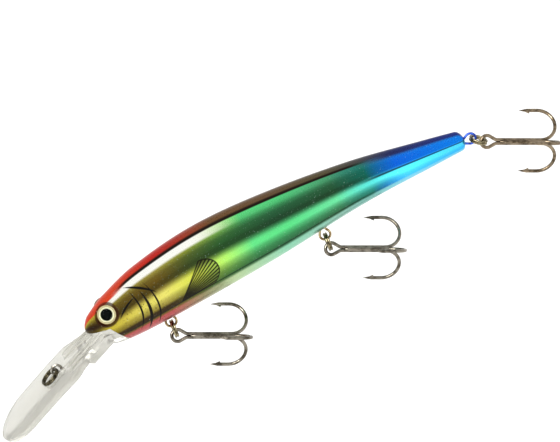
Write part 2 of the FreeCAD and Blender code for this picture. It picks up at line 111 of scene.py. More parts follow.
# %% [markdown]
# ## Shader helpers
# A finish is built from nodes. Writing `1 - mask` in Python is easier to read
# than wiring three boxes, so a small class wraps a socket and turns each sum or
# product into a Math node. Every other node comes from one method, `add`.

# %% Shader helpers
def linear(code):
    """Linear colour of a web colour such as 'd53821'."""
    parts = [int(code[i:i + 2], 16) / 255 for i in (0, 2, 4)]
    return tuple(p / 12.92 if p < 0.04045 else ((p + 0.055) / 1.055) ** 2.4 for p in parts) + (1.0,)


class Value:
    """A number from a socket; arithmetic on it adds Math nodes."""

    def __init__(self, finish, socket):
        self.finish = finish
        self.socket = socket

    def math(self, operation, *others):
        inputs = dict(enumerate(others))
        return self.finish.add("Math", {"operation": operation}, inputs)

    def __add__(self, other):
        return self.math("ADD", self, other)

    __radd__ = __add__

    def __mul__(self, other):
        return self.math("MULTIPLY", self, other)

    __rmul__ = __mul__

    def __sub__(self, other):
        return self.math("SUBTRACT", self, other)

    def __rsub__(self, other):
        return self.math("SUBTRACT", other, self)

    def __truediv__(self, other):
        return self.math("DIVIDE", self, other)

    def __abs__(self):
        return self.math("ABSOLUTE", self)

    def root(self):
        return self.math("SQRT", self)

    def wave(self):
        return self.math("SINE", self)

    def turn(self, across):
        """Angle in degrees of the direction (across, self)."""
        return self.math("ARCTAN2", self, across) * (180 / math.pi)

    def limit(self):
        return self.math("MINIMUM", self, 1.0)


class Finish:
    """A material whose nodes are added by name."""

    def __init__(self, name):
        self.material = bpy.data.materials.new(name)
        self.material.use_nodes = True
        self.tree = self.material.node_tree
        self.shader = self.tree.nodes["Principled BSDF"]

    def add(self, kind, settings=None, inputs=None, output=0):
        node = self.tree.nodes.new("ShaderNode" + kind)
        for key, value in (settings or {}).items():
            if key == "stops":
                ramp = node.color_ramp.elements
                while len(ramp) < len(value):
                    ramp.new(1.0)
                for element, (position, colour) in zip(ramp, value):
                    element.position = position
                    element.color = colour
            else:
                setattr(node, key, value)
        for key, value in (inputs or {}).items():
            self.feed(node.inputs[key], value)
        return Value(self, node.outputs[output])

    def feed(self, socket, value):
        if isinstance(value, Value):
            self.tree.links.new(value.socket, socket)
        else:
            socket.default_value = value

    def split(self, vector):
        """The three numbers of a vector."""
        first = self.add("SeparateXYZ", None, {0: vector})
        outputs = first.socket.node.outputs
        return first, Value(self, outputs[1]), Value(self, outputs[2])

    def body_place(self):
        """Body millimetres X, Y and Z at the shaded point."""
        spot = self.add("TexCoord", output=3)
        x, y, z = self.split(spot)
        return x * 1000 + TIE_EYE.x, y * 1000, z * 1000 + TIE_EYE.z

    def blend(self, share, first, second):
        """Colour that goes from first to second as share goes from 0 to 1."""
        return self.add("Mix", {"data_type": "RGBA"}, {0: share, 6: first, 7: second}, 2)

    def step(self, value, low, high):
        """0 below low, 1 above high, smooth between them."""
        return self.add("MapRange", {"interpolation_type": "SMOOTHSTEP"},
                        {0: value, 1: low, 2: high})

    def noise(self, scale, detail=2.0, rough=0.5):
        spot = self.add("TexCoord", output=3)
        return self.add("TexNoise", None, {"Vector": spot, "Scale": scale, "Detail": detail,
                                           "Roughness": rough})

    def bump(self, height, strength, distance):
        return self.add("Bump", None, {"Height": height, "Strength": strength,
                                       "Distance": distance})

    def set(self, **sockets):
        for key, value in sockets.items():
            self.feed(self.shader.inputs[key.replace("_", " ")], value)
        return self.material


print("shader helpers ready")

# %% [markdown]
# ## Mesh helpers
# Three kinds of shape make up the lure: skins lofted through closed sections,
# bent wires, and solids cut by other solids. The loft joins rings of equal
# length and closes both ends. A cut is a Boolean modifier that is turned into a
# plain mesh at once, so that no modifier is left on the piece.

# %% Mesh helpers
def new_piece(name, mesh):
    """An object for a finished mesh, linked to the scene."""
    piece = bpy.data.objects.new(name, mesh)
    bpy.context.scene.collection.objects.link(piece)
    return piece


def mesh_of(name, points, faces):
    mesh = bpy.data.meshes.new(name)
    mesh.from_pydata([tuple(p) for p in points], [], faces)
    work = bmesh.new()
    work.from_mesh(mesh)
    bmesh.ops.remove_doubles(work, verts=work.verts, dist=1e-8)
    bmesh.ops.recalc_face_normals(work, faces=work.faces)
    work.to_mesh(mesh)
    work.free()
    return mesh


def loft(name, rings):
    """Closed skin through rings of equal length."""
    count = len(rings[0])
    points = [p for ring in rings for p in ring]
    faces = []
    for i in range(len(rings) - 1):
        for j in range(count):
            k = (j + 1) % count
            faces.append((i * count + j, i * count + k, (i + 1) * count + k, (i + 1) * count + j))
    for ring, start in ((rings[0], 0), (rings[-1], (len(rings) - 1) * count)):
        middle = sum(ring, Vector()) / count
        points.append(middle)
        hub = len(points) - 1
        faces += [(start + j, start + (j + 1) % count, hub) for j in range(count)]
    return mesh_of(name, points, faces)


def prism(name, outline, low_y, high_y):
    """Solid between two Y planes whose side view is a list of (x, z) pairs."""
    count = len(outline)
    points = [place(x, y, z) for y in (low_y, high_y) for x, z in outline]
    faces = [tuple(range(count)), tuple(range(count, 2 * count))]
    faces += [(i, (i + 1) % count, count + (i + 1) % count, count + i) for i in range(count)]
    return mesh_of(name, points, faces)


def plain_mesh(piece):
    """Mesh of a piece with its modifiers worked in; the modifiers are removed."""
    graph = bpy.context.evaluated_depsgraph_get()
    mesh = bpy.data.meshes.new_from_object(piece.evaluated_get(graph))
    piece.modifiers.clear()
    return mesh


def carve(mesh, tools, operation="DIFFERENCE"):
    """Mesh cut by, joined to or kept inside each tool mesh in turn."""
    for tool in tools:
        work = new_piece("work", mesh)
        cutter = new_piece("cutter", tool)
        step = work.modifiers.new("cut", "BOOLEAN")
        step.operation = operation
        step.solver = "EXACT"
        step.object = cutter
        mesh = plain_mesh(work)
        bpy.data.objects.remove(work)
        bpy.data.objects.remove(cutter)
    return mesh


def finish_piece(name, mesh, material, body, replaced=(), sharp=32.0):
    """Shade a mesh, give it its material, and hang it on its body."""
    mesh.materials.clear()
    mesh.materials.append(material)
    for face in mesh.polygons:
        face.material_index = 0
        face.use_smooth = True
    mesh.set_sharp_from_angle(angle=math.radians(sharp))
    piece = new_piece(name, mesh)
    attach(piece, body)
    if replaced:
        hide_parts(*replaced)
    print(name, len(mesh.polygons), "faces")
    return piece


# %% [markdown]
# ## Body shape
# A minnow body is an oval at every place along it, and four lines give its
# height, depth and width. The same rule as in the solid model is used here, but
# with many more sections, because a mirror-bright finish shows every facet. The
# nose and tail are rounded off within the first and last two millimetres.

# %% Body sections
BODY_LENGTH = 116.8
BACK_HEIGHT = 12.3
BELLY_DEPTH = 9.45
BODY_WIDTH = 13.3
NOSE_ROUND = 2.2
TAIL_ROUND = 1.7
SHELL_WALL = 1.2
BODY_LINES = [
    (0.000, 0.035, 0.420, 0.285),
    (0.043, 0.285, 0.878, 0.692),
    (0.069, 0.411, 0.984, 0.805),
    (0.163, 0.728, 1.000, 0.947),
    (0.325, 0.980, 0.894, 1.000),
    (0.497, 0.967, 0.730, 0.932),
    (0.728, 0.736, 0.418, 0.692),
    (0.916, 0.390, 0.333, 0.436),
    (1.000, 0.222, 0.296, 0.330),
]


def line_share(along, column):
    """A body line's share of its size, by a smooth cubic between its knots."""
    last = len(BODY_LINES) - 1
    i = max(k for k in range(last) if k == 0 or along > BODY_LINES[k][0])
    here, there = BODY_LINES[i], BODY_LINES[i + 1]
    before, after = BODY_LINES[max(i - 1, 0)], BODY_LINES[min(i + 2, last)]
    slope0 = (there[column] - before[column]) / (there[0] - before[0])
    slope1 = (after[column] - here[column]) / (after[0] - here[0])
    span = there[0] - here[0]
    t = (along - here[0]) / span
    return ((2 * t**3 - 3 * t**2 + 1) * here[column] + (t**3 - 2 * t**2 + t) * span * slope0
            + (3 * t**2 - 2 * t**3) * there[column] + (t**3 - t**2) * span * slope1)


def body_section(x):
    """Middle height, half height and half width at x, before the ends are rounded."""
    along = min(max(x / BODY_LENGTH, 0.0), 1.0)
    back = line_share(along, 1) * BACK_HEIGHT
    belly = -line_share(along, 2) * BELLY_DEPTH
    return (back + belly) / 2, (back - belly) / 2, line_share(along, 3) * BODY_WIDTH / 2


def end_round(x):
    """How much the section shrinks close to the nose and the tail."""
    if x < NOSE_ROUND:
        return math.sqrt(max(1 - (1 - x / NOSE_ROUND) ** 2 * 0.97, 0.0))
    if x > BODY_LENGTH - TAIL_ROUND:
        out = (x - BODY_LENGTH + TAIL_ROUND) / TAIL_ROUND
        return math.sqrt(max(1 - out**2 * 0.97, 0.0))
    return 1.0


def body_stations(count):
    """Places along the body, closer together at both ends."""
    ends = [NOSE_ROUND * (1 - math.cos(math.pi / 2 * i / 12)) for i in range(12)]
    run = BODY_LENGTH - NOSE_ROUND - TAIL_ROUND
    middle = [NOSE_ROUND + run * i / count for i in range(count + 1)]
    tail = [BODY_LENGTH - TAIL_ROUND * (1 - math.sin(math.pi / 2 * i / 10)) for i in range(1, 11)]
    return ends + middle + tail


def body_skin(name, inset, count=150, around=96):
    """Closed skin of the body, or of its hollow when inset by the wall."""
    rings = []
    for x in body_stations(count):
        middle, tall, wide = body_section(x)
        shrink = end_round(x)
        at = x + inset * 1.8 * (1 - 2 * x / BODY_LENGTH)
        ring = []
        for j in range(around):
            turn = 2 * math.pi * (j + 0.5) / around
            ring.append(place(at, max(wide * shrink - inset, 0.05) * math.cos(turn),
                              middle + max(tall * shrink - inset, 0.05) * math.sin(turn)))
        rings.append(ring)
    return loft(name, rings)


print("deepest section:", [round(v, 2) for v in body_section(38.0)])

# %% [markdown]
# ## Body paint
# A lure of this kind is plated first, like a mirror, and then sprayed with clear
# colours: gold at the head, then green, teal and blue. The bright and dark
# reflections of the mirror, which run in bands along the flank, are painted into
# the colour as a bright and a deep tone of that hue. So the paint is a rule and
# not a picture: four short lists give the tones along the body, two give how much
# painted bright reflection the bands round it get, and soft masks add the back,
# the painted white highlight under it, thin painted dark reflections, the belly
# and the nose's painted shade.

# %% Paint rule
# Body mm and colour.
# Bright tone: the hue as a painted bright reflection; deep tone: the hue as a painted dark
# reflection.
BRIGHT_REFLECTION_TONES = [(8, "b0a030"), (24, "d0c860"), (34, "c0c840"), (44, "a0dc60"), (52, "58cc78"),
                (64, "50c878"), (78, "60cc90"), (88, "50d0c8"), (98, "50e8f8"), (115, "40c0e8")]
DARK_REFLECTION_TONES = [(8, "504010"), (24, "604c10"), (34, "405020"), (44, "285828"), (60, "205030"),
              (78, "205030"), (88, "086050"), (97, "0060d8"), (115, "0078e0")]
BACK_TONES = [(10, "d04020"), (26, "b82018"), (34, "a03020"), (44, "684828"), (60, "604830"),
              (78, "504830"), (88, "404040"), (97, "202858"), (115, "203078")]
BELLY_TONES = [(24, "a84848"), (34, "888058"), (44, "a8c090"), (60, "80c0a0"), (78, "80b0a0"),
               (88, "70b0a8"), (98, "70c0d8"), (115, "60b8d8")]
# Angle round the body (90 is the back, 0 the flank, -90 the belly) and share of
# the bright tone: these bands are painted bright and dark reflections.
UPPER_REFLECTION_BAND = [(28, 0.0), (36, 0.06), (44, 0.35), (50, 0.8), (58, 1.0)]
LOWER_REFLECTION_BAND = [(-36, 0.0), (-28, 0.06), (-18, 0.2), (-9, 0.55), (-3, 1.0), (4, 0.95), (11, 0.25),
              (17, 0.0)]


def tones(finish, along, stops):
    """Colour ramp along the body."""
    stops = [(x / BODY_LENGTH, linear(code)) for x, code in stops]
    return finish.add("ValToRGB", {"stops": stops}, {0: along})


def band(finish, around, stops):
    """Share from 0 to 1 over the angle round the body."""
    stops = [((angle + 90) / 180, (share, share, share, 1.0)) for angle, share in stops]
    return finish.add("ValToRGB", {"stops": stops}, {0: around})


def body_paint_colour(finish, along, around):
    x = along * BODY_LENGTH
    degrees = around * 180 - 90
    # The bright share is painted reflection; low on the tail a painted bright reflection is added.
    upper = band(finish, around, UPPER_REFLECTION_BAND) * (finish.step(x, 92, 58) * 0.9 + 0.08)
    tail_bright_reflection = finish.step(x, 90, 100) * finish.step(degrees, 6, -8) * 0.5
    share = (upper + band(finish, around, LOWER_REFLECTION_BAND) + tail_bright_reflection).limit()
    colour = finish.blend(share, tones(finish, along, DARK_REFLECTION_TONES),
                          tones(finish, along, BRIGHT_REFLECTION_TONES))
    # A painted dark reflection along the flank, ending before the tail.
    dark_reflection_band = finish.step(abs(degrees - 19), 9, 2) * finish.step(x, 92, 82) * 0.4
    colour = finish.blend(dark_reflection_band, colour, linear("101c08"))
    # A painted dark reflection low on the cheek.
    cheek_dark_reflection = finish.step(abs(degrees + 26), 9, 3) * finish.step(x, 38, 24) * 0.9
    colour = finish.blend(cheek_dark_reflection, colour, linear("201008"))
    belly = finish.step(degrees, -33, -41)
    colour = finish.blend(belly, colour, tones(finish, along, BELLY_TONES))
    # A painted white highlight under the back, from the head to mid-body.
    painted_highlight = finish.step(degrees, 44, 50) * finish.step(x, 52, 36) * finish.step(x, 6, 11)
    colour = finish.blend(painted_highlight, colour, linear("f0f0e8"))
    # A thin painted dark reflection line just under the back.
    edge = finish.step(degrees, 60, 63) * finish.step(x, 8, 14) * finish.step(x, 96, 84)
    colour = finish.blend(edge, colour, linear("180c04"))
    back = finish.step(degrees, 67, 73) + finish.step(x, 84, 96) * finish.step(degrees, 44, 62)
    low_back = finish.step(degrees, 56, 60) * finish.step(x, 16, 10)
    colour = finish.blend((back + low_back).limit(), colour, tones(finish, along, BACK_TONES))
    # Painted shade on the lower front of the nose, where it faces the lip.
    nose = finish.step(x, 8, 2) * finish.step(degrees, 40, 22)
    return finish.blend(nose * 0.92, colour, linear("281408"))


print("paint tones:", len(BRIGHT_REFLECTION_TONES + DARK_REFLECTION_TONES + BACK_TONES + BELLY_TONES))

# %% [markdown]
# The head carries a few dark marks: crescents behind the cheek for the gill
# cover, a small fan of rays for the side fin, and fine specks. They are common
# to fish and to lures. They are drawn here from circles and angles, seen from
# the side, so that both flanks get the same marks.

# %% Gill, fin and specks
def on_skin(x, z):
    """Point of the skin in body mm, on the +Y side."""
    middle, tall, wide = body_section(x)
    return x, wide * math.sqrt(1 - ((z - middle) / tall) ** 2), z


EYE_PLACE = on_skin(7.2, 1.65)


def crescent(finish, x, z, centre, radius, middle, spread, width):
    """Mask of an arc stroke that is widest in its middle."""
    away_x = x - centre[0]
    away_z = z - centre[1]
    distance = (away_x * away_x + away_z * away_z).root()
    angle = away_z.turn(away_x)
    off = abs(angle - middle) / spread
    body = 1 - off * off
    return finish.step(body * width - abs(distance - radius), 0.0, 0.16)


FIN_ROOT = (27.0, -4.4)
FIN_REACH = 15.4
FIN_TILT = 25.0
FIN_SPREAD = 21.0


def fin_marks(finish, x, z):
    """Masks of the side fin: its whole fan and its dark rays and rim."""
    away_x = x - FIN_ROOT[0]
    away_z = z - FIN_ROOT[1]
    distance = (away_x * away_x + away_z * away_z).root()
    angle = away_z.turn(away_x)
    off = (angle - FIN_TILT) / FIN_SPREAD
    reach = FIN_REACH - off * off * 3.4 + off * 1.2
    inside = reach - distance
    edge = (1 - abs(off)) * distance * 0.3
    fan = finish.step(inside, 0.0, 0.15) * finish.step(edge, 0.0, 0.15)
    rim = finish.step(inside, 0.7, 0.25) + finish.step(edge, 0.55, 0.2)
    rays = finish.step((angle * 1.7).wave(), -0.3, 0.3)
    root = finish.step(distance, 9.0, 3.0)
    dark = (rim + rays + root).limit()
    return fan, dark


def side_marks(finish, colour, degrees):
    """Painted dark reflection lines, specks, gill crescents and side fin painted over a colour."""
    x, y, z = finish.body_place()
    # Two thin painted dark reflections: one low on the flank, one along the tail.
    belly_dark_reflection = (finish.step(abs(degrees + 31.0), 1.6, 0.5) * finish.step(x, 9.0, 12.0)
                  * finish.step(x, 92.0, 84.0))
    tail_dark_reflection = finish.step(abs(degrees - 9.0), 3.6, 1.4) * finish.step(x, 84.0, 92.0)
    colour = finish.blend((belly_dark_reflection + tail_dark_reflection) * 0.85, colour, linear("0a1414"))
    away = (x - EYE_PLACE[0], abs(y) - EYE_PLACE[1], z - EYE_PLACE[2])
    around_eye = sum((part * part for part in away[1:]), away[0] * away[0]).root()
    colour = finish.blend(finish.step(around_eye, 3.75, 3.45) * 0.8, colour, linear("3a1608"))
    specks = finish.step(finish.noise(1700, 3.0, 0.7), 0.58, 0.66)
    cheek = finish.step(x, 7.0, 12.0) * finish.step(x, 29.0, 22.0) * finish.step(z, 3.5, 0.5)
    colour = finish.blend(specks * cheek * 0.8, colour, linear("241a06"))
    for centre, radius, middle, spread, width in GILL_STROKES:
        stroke = crescent(finish, x, z, centre, radius, middle, spread, width)
        colour = finish.blend(stroke, colour, linear("0c0a06"))
    fan, dark = fin_marks(finish, x, z)
    colour = finish.blend(fan * 0.4, colour, linear("4a4512"))
    return finish.blend(fan * dark * 0.93, colour, linear("0d0c05"))


# Centre (x, z), radius, middle angle, half spread and half width of each stroke.
GILL_STROKES = [
    ((5.2, 0.2), 11.4, -6.0, 36.0, 0.36),
    ((6.4, 0.0), 12.6, -10.0, 33.0, 0.5),
    ((8.6, -0.2), 13.0, -4.0, 37.0, 0.34),
    ((21.5, -11.0), 15.2, 124.0, 17.0, 0.34),
    ((12.6, -7.0), 13.4, 62.0, 22.0, 0.4),
]

# %% [markdown]
# The lacquer over the paint is what makes it shine, so the shader is mostly
# metal under a thin clear coat. A faint bump keeps the reflections from being perfect, as
# hand-sprayed lacquer never is.

# %% Body finish
def body_finish():
    finish = Finish("body paint")
    chart = finish.add("UVMap", {"uv_map": "chart"})
    along, around, _ = finish.split(chart)
    colour = body_paint_colour(finish, along, around)
    degrees = around * 180 - 90
    flecks = finish.step(finish.noise(3400, 1.0), 0.7, 0.77) * finish.step(degrees, 60.0, 54.0)
    colour = finish.blend(flecks * 0.3, colour, linear("d8ffee"))
    colour = side_marks(finish, colour, degrees)
    ripple = finish.noise(90, 2.0)
    grain = finish.noise(5200, 2.0)
    return finish.set(Base_Color=colour, Metallic=0.85, Roughness=0.22 + grain * 0.12,
                      Specular_IOR_Level=0.2, Coat_Weight=0.12, Coat_Roughness=0.03,
                      Normal=finish.bump(ripple, 0.1, 0.0006))


def write_chart(mesh):
    """UV map that gives each corner its place along and angle round the body."""
    layer = mesh.uv_layers.new(name="chart")
    for loop in mesh.loops:
        spot = mesh.vertices[loop.vertex_index].co / MM + TIE_EYE
        middle, tall, wide = body_section(spot.x)
        angle = math.atan2((spot.z - middle) / tall, abs(spot.y) / wide)
        layer.uv[loop.index].vector = (spot.x / BODY_LENGTH, angle / math.pi + 0.5)


print("body finish ready")

# %% [markdown]
# ## Body halves
# Each half is a moulded shell. The whole skin is lofted once. The space of the
# lip's chin, the slot of its tongue, the two round eye seats and the hollow are
# cut from it, and then a block keeps the left or the right half.

# %% Cutting shapes
CHIN_TOP_Z = -2.3
CHIN_FLAT_END = 6.5
CHIN_REAR = (10.4, -8.8)
EYE_UP = 20.0
EYE_FORWARD = 12.0
EYE_RADIUS = 2.7
EYE_GROOVE = 0.6
EYE_DEPTH = 0.85


def chin_prism(name, grow, reach=12.0):
    """Space under the raked chin line, grown upwards and back by grow."""
    rake = math.atan2(CHIN_TOP_Z - CHIN_REAR[1], CHIN_REAR[0] - CHIN_FLAT_END)
    low = -3 * BELLY_DEPTH
    run = (CHIN_TOP_Z - low) / math.tan(rake)
    shift = grow / math.sin(rake)
    top_x = CHIN_FLAT_END + shift - grow / math.tan(rake)
    outline = [(-60, CHIN_TOP_Z + grow), (top_x, CHIN_TOP_Z + grow),
               (CHIN_FLAT_END + run + shift, low), (-60, low)]
    return prism(name, outline, -reach, reach)


def tongue_prism(name, grow):
    half = 1.2 + grow
    outline = [(5.5, -5.2 - grow), (5.5, -2.5), (6.5, 0.6 + grow), (16.6 + grow, 0.6 + grow),
               (16.6 + grow, -5.2 - grow)]
    return prism(name, outline, -half, half)


def eye_matrix(way, out=0.0):
    """Frame of an eye: origin on the skin moved by out mm, Z along its look."""
    up, forward = math.radians(EYE_UP), math.radians(EYE_FORWARD)
    look = Vector((-math.sin(forward) * math.cos(up), way * math.cos(forward) * math.cos(up),
                   math.sin(up)))
    x, skin, z = EYE_PLACE
    spot = place(x, way * skin, z) + look * (out * MM)
    across = Vector((0, 0, 1)).cross(look).normalized()
    above = look.cross(across)
    turn = Matrix((across, above, look)).transposed().to_4x4()
    return Matrix.Translation(spot) @ turn


def turned(name, profile, matrix, around=72):
    """Closed solid of revolution; profile is (radius, height) pairs in mm."""
    rings = []
    for radius, height in profile:
        rings.append([matrix @ (Vector((radius * math.cos(a), radius * math.sin(a), height)) * MM)
                      for a in (2 * math.pi * j / around for j in range(around))])
    return loft(name, rings)


def eye_seat(way):
    radius = EYE_RADIUS + EYE_GROOVE
    return turned("seat", [(radius - 0.15, -EYE_DEPTH), (radius, -EYE_DEPTH + 0.15),
                           (radius, 6.0)], eye_matrix(way))


print("cutting shapes ready")

# %% Shells
SLOT_PLAY = 0.04
HALF_GAP = 0.012
body_paint = body_finish()
hollow = carve(body_skin("hollow", SHELL_WALL, 60, 48), [chin_prism("chin", SHELL_WALL)])
whole = carve(body_skin("body", 0.0),
              [chin_prism("chin", 0.0), tongue_prism("slot", SLOT_PLAY),
               eye_seat(-1), eye_seat(1), hollow])
for side, way in (("left", -1), ("right", 1)):
    low_y, high_y = sorted((way * HALF_GAP, way * 12))
    keep = prism("keep", [(-20, -30), (140, -30), (140, 30), (-20, 30)], low_y, high_y)
    shell = carve(whole.copy(), [keep], "INTERSECT")
    write_chart(shell)
    finish_piece("shell_" + side, shell, body_paint, "lure_body", ["body_" + side], 30)

# %% [markdown]
# ## Clear diving lip
# The lip is one piece of clear plastic: a slightly arched blade, a chin that
# completes the head, a thick root under the blade, a tongue inside the head, and
# raised ribs that run from the nose out to the line tie. Clear plastic shows its
# edges more than its faces, so the blade is lofted with a slightly rounded rim.

# %% Lip blade
LIP_LENGTH = 42.0
LIP_ANGLE = 24.0
LIP_ARCH = 385.0
LIP_ROOT = (4.5, -2.7)
LIP_THICK = (2.2, 1.6)
LIP_HALF_WIDTH = 10.2
LIP_TIP_ROUND = 9.0
LIP_END = 0.991


def lip_point(share, offset, y=0.0):
    """Point of the arched lip, offset below its top face; share is 0 at the root."""
    start = math.radians(LIP_ANGLE) - LIP_LENGTH / LIP_ARCH / 2
    turn = start + LIP_LENGTH / LIP_ARCH * share
    reach = LIP_ARCH - offset
    return Vector((LIP_ROOT[0] + LIP_ARCH * math.sin(start) - reach * math.sin(turn), y,
                   LIP_ROOT[1] - LIP_ARCH * math.cos(start) + reach * math.cos(turn)))


def lip_half_width(x):
    """Half width of the blade: round tip, straight sides, then a waist at the nose."""
    tip = lip_point(LIP_END, LIP_THICK[1] / 2).x + 0.02
    turn_x = tip + LIP_TIP_ROUND
    if x < turn_x:
        return LIP_HALF_WIDTH * math.sqrt(max(1 - ((turn_x - x) / LIP_TIP_ROUND) ** 2, 0.0))
    knots = [(-8.0, LIP_HALF_WIDTH), (-4.0, 8.3), (0.0, 5.9), (4.5, 4.0), (12.0, 4.0)]
    if x <= knots[0][0]:
        return LIP_HALF_WIDTH
    for (x0, w0), (x1, w1) in zip(knots, knots[1:]):
        if x <= x1:
            t = (x - x0) / (x1 - x0)
            ease = t * t * (3 - 2 * t) if x0 != -4.0 and x1 != 0.0 else t
            return w0 + (w1 - w0) * ease
    return knots[-1][1]


def blade_mesh():
    rings = []
    stations = [LIP_END - 0.2 * (1 - math.cos(math.pi / 2 * i / 26)) for i in range(26)]
    stations += [LIP_END - 0.2 - 0.82 * i / 70 for i in range(71)]
    for share in stations:
        thick = LIP_THICK[0] + (LIP_THICK[1] - LIP_THICK[0]) * min(max(share, 0), 1)
        half = max(lip_half_width(lip_point(share, thick / 2).x), 0.05)
        rim = min(thick * 0.2, half)
        ring = []
        for side in (1, -1):
            for j in range(15):
                turn = math.pi * j / 14
                y = side * (half - rim + rim * math.sin(turn))
                offset = thick / 2 - side * thick / 2 * math.cos(turn)
                ring.append(lip_point(share, offset, y))
        rings.append([place(*p) for p in ring])
    return loft("blade", rings)


print("lip reaches", [round(v, 4) for v in place(*lip_point(1.0, 0.0))])

# %% [markdown]
# The ribs are a repeated shape that follows a path, and so are all the bent
# wires of the lure. One small Geometry Nodes tree serves them all: it sweeps a
# round section along a curve, with the curve's own radius at each point, which
# lets a hook taper to its point.

# %% Geometry Nodes for bent wire
def tree_node(tree, kind, inputs=None, settings=None):
    node = tree.nodes.new(kind)
    for key, value in (settings or {}).items():
        setattr(node, key, value)
    for key, value in (inputs or {}).items():
        if isinstance(value, bpy.types.NodeSocket):
            tree.links.new(value, node.inputs[key])
        else:
            node.inputs[key].default_value = value
    return node.outputs[0]


def new_tree(name, sizes):
    """Empty geometry tree with named size inputs; returns it with its group input."""
    tree = bpy.data.node_groups.new(name, "GeometryNodeTree")
    tree.interface.new_socket("Geometry", in_out="INPUT", socket_type="NodeSocketGeometry")
    tree.interface.new_socket("Geometry", in_out="OUTPUT", socket_type="NodeSocketGeometry")
    for label, kind in sizes.items():
        tree.interface.new_socket(label, in_out="INPUT", socket_type="NodeSocket" + kind)
    return tree, tree.nodes.new("NodeGroupInput").outputs


def end_tree(tree, geometry, material):
    """Close a tree with Shade Smooth, Realize Instances and Set Material."""
    smooth = tree_node(tree, "GeometryNodeSetShadeSmooth", {"Geometry": geometry})
    real = tree_node(tree, "GeometryNodeRealizeInstances", {"Geometry": smooth})
    painted = tree_node(tree, "GeometryNodeSetMaterial", {"Geometry": real, "Material": material})
    tree.links.new(painted, tree.nodes.new("NodeGroupOutput").inputs[0])


def run_tree(piece, tree, values):
    """Mesh that a tree makes of a piece with these input values."""
    step = piece.modifiers.new("tree", "NODES")
    step.node_group = tree
    for item in tree.interface.items_tree:
        if item.item_type == "SOCKET" and item.name in values:
            step[item.identifier] = values[item.name]
    mesh = plain_mesh(piece)
    bpy.data.objects.remove(piece)
    return mesh


wire_tree, made = new_tree("bent wire", {"Sides": "Int", "Finish": "Material"})
profile = tree_node(wire_tree, "GeometryNodeCurvePrimitiveCircle",
                    {"Resolution": made["Sides"], "Radius": 1.0})
radius = tree_node(wire_tree, "GeometryNodeInputRadius")
swept = tree_node(wire_tree, "GeometryNodeCurveToMesh",
                  {"Curve": made["Geometry"], "Profile Curve": profile, "Scale": radius,
                   "Fill Caps": True})
end_tree(wire_tree, swept, made["Finish"])


def wire_mesh(paths, material, sides=16):
    """Mesh of wires; each path is (points in mm, radii in mm, closed)."""
    data = bpy.data.curves.new("wire", "CURVE")
    data.dimensions = "3D"
    for points, radii, closed in paths:
        spline = data.splines.new("POLY")
        spline.points.add(len(points) - 1)
        for knot, spot, size in zip(spline.points, points, radii):
            knot.co = (*(spot * MM), 1.0)
            knot.radius = size * MM
        spline.use_cyclic_u = closed
    values = {"Sides": sides, "Finish": material}
    return run_tree(new_piece("wire", data), wire_tree, values)


print("wire tree has", len(wire_tree.nodes), "nodes")

# %% Lip finish and piece
def clear_finish(name, tint, rough, haze, clear, bend=1.5):
    finish = Finish(name)
    grain = finish.noise(260, 3.0)
    flow = finish.noise(45, 2.0)
    colour = finish.blend(grain * haze, linear(tint), linear("b9b6aa"))
    return finish.set(Base_Color=colour, Transmission_Weight=clear, IOR=bend,
                      Roughness=rough + grain * 0.05,
                      Normal=finish.bump(flow, 0.04, 0.0004))


RIB_WIDTH = 1.0
RIB_HEIGHT = 0.7
WEB_OUTLINE = [(6.0, -6.2), (-1.5, -9.5), (-4.7, -7.6), (4.5, -3.8), (6.0, -3.8)]
WEB_HALF_WIDTH = 5.5
clear_plastic = clear_finish("clear lip", "dfded6", 0.04, 0.4, 0.66)
rib_paths = []
for root_y, end_y in ((-3.4, -6.2), (-1.5, -3.0), (1.5, 3.0), (3.4, 6.2)):
    run = []
    for i in range(21):
        share = i / 20 * 0.34
        sink = RIB_WIDTH / 2 - RIB_HEIGHT + (max(i - 17, 0) / 3) ** 2 * 0.5
        run.append(lip_point(share, sink, root_y + (end_y - root_y) * i / 20) - TIE_EYE)
    rib_paths.append((run, [RIB_WIDTH / 2] * 21, False))
ribs = wire_mesh(rib_paths, clear_plastic, 14)
blade = carve(blade_mesh(), [chin_prism("chin", -0.04)], "INTERSECT")
chin = carve(body_skin("chin body", 0.0, 110, 72), [chin_prism("chin", -0.04)], "INTERSECT")
web = prism("web", WEB_OUTLINE, -WEB_HALF_WIDTH, WEB_HALF_WIDTH)
web = carve(web, [chin_prism("chin", -0.04)], "INTERSECT")
lip = carve(blade, [chin, web, tongue_prism("tongue", 0.0), ribs], "UNION")
finish_piece("lip_clear", lip, clear_plastic, "lure_body", ["diving_lip"], 35)

# %% [markdown]
# ## Wire eyes
# Each hook hanger is one wire bent into an eye at both ends: one eye hangs
# outside, the other is trapped between the shells. The line tie is an eye whose
# leg is moulded into the lip. Their paths are arcs and straight runs in the
# parting plane.

# %% Wire paths
def arc_run(centre, radius, start, end, steps):
    """Points of an arc in the XZ plane, angles in degrees from +X towards +Z."""
    turns = [math.radians(start + (end - start) * i / steps) for i in range(steps + 1)]
    return [Vector((centre[0] + radius * math.cos(a), 0, centre[1] + radius * math.sin(a)))
            for a in turns]


def eye_bend(radius, half_gap, neck=60.0):
    """Upper half of an eye from its far side to where its leg turns straight."""
    turn = math.radians(neck)
    fall = math.pi / 2 - turn
    bend = 1.2 * radius
    leave = Vector((radius * math.cos(turn), 0, radius * math.sin(turn)))
    run = (leave.z - half_gap - bend * (1 - math.cos(fall))) / math.cos(turn)
    neck_end = leave + Vector((math.sin(turn), 0, -math.cos(turn))) * run
    centre = (neck_end.x + bend * math.sin(fall), half_gap + bend)
    points = arc_run((0, 0), radius, 180, neck, 20)
    return points + arc_run(centre, bend, -90 - math.degrees(fall), -90, 8)


def flipped(points):
    return [Vector((p.x, p.y, -p.z)) for p in reversed(points)]


